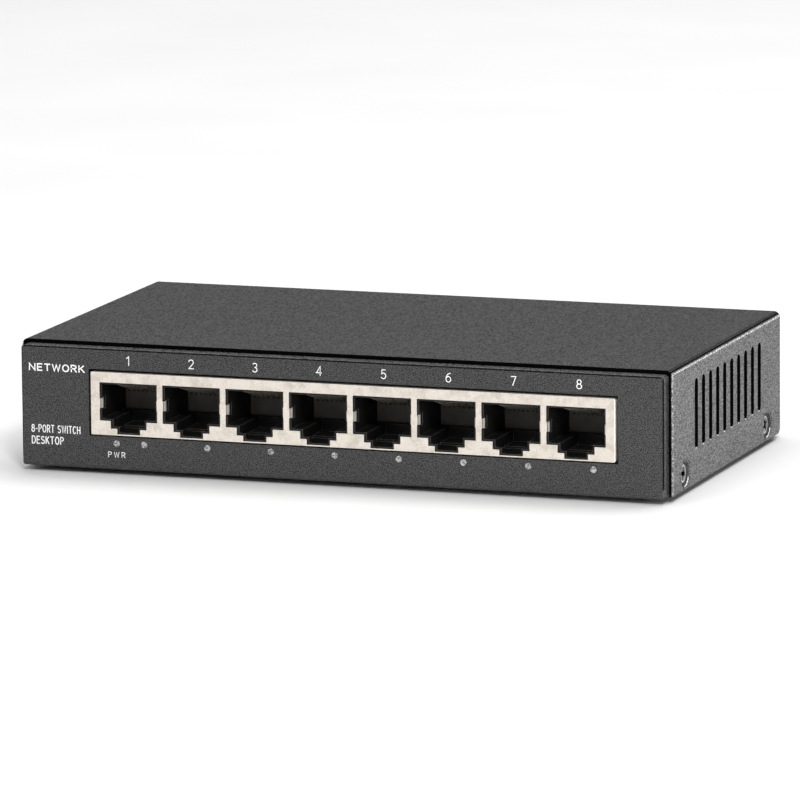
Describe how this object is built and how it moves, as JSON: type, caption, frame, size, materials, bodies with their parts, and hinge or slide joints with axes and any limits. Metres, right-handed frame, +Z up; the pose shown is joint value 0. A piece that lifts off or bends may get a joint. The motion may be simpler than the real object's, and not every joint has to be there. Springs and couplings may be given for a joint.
{
  "type": "desktop network switch",
  "caption": "Small desktop network switch: folded steel case with slotted sides, a shielded row of modular ports with indicator lights in front, and a power socket behind.",
  "frame": {"origin": "middle of the footprint, on the plane that the feet stand on", "axes": "+X to the right seen from the front, +Y to the rear, +Z up; the ports face -Y"},
  "size_m": [0.1422, 0.0836, 0.0275],
  "materials": {
    "case_paint": "fine-grained semi-gloss black powder coat on folded steel sheet",
    "black_screw": "black oxide on steel",
    "foot_rubber": "matt black rubber",
    "board_laminate": "green solder mask on glass-fibre laminate",
    "plated_steel": "nickel-plated steel sheet, satin",
    "bright_hardware": "zinc-plated steel",
    "black_plastic": "moulded black plastic",
    "contact_gold": "gold-flashed phosphor bronze wire",
    "tinned_leads": "tin-plated leads",
    "clear_plastic": "clear moulded plastic with a frosted end",
    "led_body": "white plastic with a clear lens",
    "chip_plastic": "black moulded epoxy",
    "crystal_can": "bright metal can",
    "capacitor_sleeve": "shrunk plastic sleeve with a bare aluminium top",
    "ferrite": "dark ferrite",
    "fuse_body": "moulded plastic",
    "chip_ceramic": "fired ceramic with tinned ends"
  },
  "bodies": {
    "switch_case": {"chassis": "case_paint", "cover": "case_paint", "cover_screws": "black_screw", "rubber_feet": "foot_rubber", "circuit_board": "board_laminate", "board_standoffs": "bright_hardware", "board_screws": "bright_hardware", "port_shield": "plated_steel", "port_housing": "black_plastic", "port_back_plates": "black_plastic", "contact_carriers": "black_plastic", "contact_tails": "contact_gold", "light_pipes": "clear_plastic", "light_pipe_holder": "black_plastic", "link_leds": "led_body", "power_led": "led_body", "lan_transformers": "chip_plastic", "transformer_leads": "tinned_leads", "switch_chip": "chip_plastic", "switch_chip_leads": "tinned_leads", "settings_memory_chip": "chip_plastic", "crystal": "crystal_can", "electrolytic_capacitors": "capacitor_sleeve", "power_inductor": "ferrite", "regulator_chip": "chip_plastic", "input_diode": "chip_plastic", "input_fuse": "fuse_body", "chip_resistors": "chip_plastic", "chip_capacitors": "chip_ceramic", "power_socket_housing": "black_plastic", "power_socket_pin": "tinned_leads", "power_socket_terminals": "tinned_leads"},
    "port_1_wires": {"port_1_contacts": "contact_gold"},
    "port_2_wires": {"port_2_contacts": "contact_gold"},
    "port_3_wires": {"port_3_contacts": "contact_gold"},
    "port_4_wires": {"port_4_contacts": "contact_gold"},
    "port_5_wires": {"port_5_contacts": "contact_gold"},
    "port_6_wires": {"port_6_contacts": "contact_gold"},
    "port_7_wires": {"port_7_contacts": "contact_gold"},
    "port_8_wires": {"port_8_contacts": "contact_gold"},
    "power_socket_leaf": {"power_socket_spring": "tinned_leads"}
  },
  "joints": [
    {"name": "port_1_contact_flex", "type": "hinge", "parent": "switch_case", "child": "port_1_wires", "pos_m": [-0.04627, -0.0389, 0.01955], "axis": [1, 0, 0], "range_deg": [0, 12], "stiffness_Nm_per_rad": 0.02},
    {"name": "port_2_contact_flex", "type": "hinge", "parent": "switch_case", "child": "port_2_wires", "pos_m": [-0.03231, -0.0389, 0.01955], "axis": [1, 0, 0], "range_deg": [0, 12], "stiffness_Nm_per_rad": 0.02},
    {"name": "port_3_contact_flex", "type": "hinge", "parent": "switch_case", "child": "port_3_wires", "pos_m": [-0.01834, -0.0389, 0.01955], "axis": [1, 0, 0], "range_deg": [0, 12], "stiffness_Nm_per_rad": 0.02},
    {"name": "port_4_contact_flex", "type": "hinge", "parent": "switch_case", "child": "port_4_wires", "pos_m": [-0.00436, -0.0389, 0.01955], "axis": [1, 0, 0], "range_deg": [0, 12], "stiffness_Nm_per_rad": 0.02},
    {"name": "port_5_contact_flex", "type": "hinge", "parent": "switch_case", "child": "port_5_wires", "pos_m": [0.00961, -0.0389, 0.01955], "axis": [1, 0, 0], "range_deg": [0, 12], "stiffness_Nm_per_rad": 0.02},
    {"name": "port_6_contact_flex", "type": "hinge", "parent": "switch_case", "child": "port_6_wires", "pos_m": [0.02357, -0.0389, 0.01955], "axis": [1, 0, 0], "range_deg": [0, 12], "stiffness_Nm_per_rad": 0.02},
    {"name": "port_7_contact_flex", "type": "hinge", "parent": "switch_case", "child": "port_7_wires", "pos_m": [0.03755, -0.0389, 0.01955], "axis": [1, 0, 0], "range_deg": [0, 12], "stiffness_Nm_per_rad": 0.02},
    {"name": "port_8_contact_flex", "type": "hinge", "parent": "switch_case", "child": "port_8_wires", "pos_m": [0.05151, -0.0389, 0.01955], "axis": [1, 0, 0], "range_deg": [0, 12], "stiffness_Nm_per_rad": 0.02},
    {"name": "power_socket_leaf_flex", "type": "hinge", "parent": "switch_case", "child": "power_socket_leaf", "pos_m": [0.048, 0.03, 0.0109], "axis": [-1, 0, 0], "range_deg": [0, 4], "stiffness_Nm_per_rad": 0.02}
  ]
}
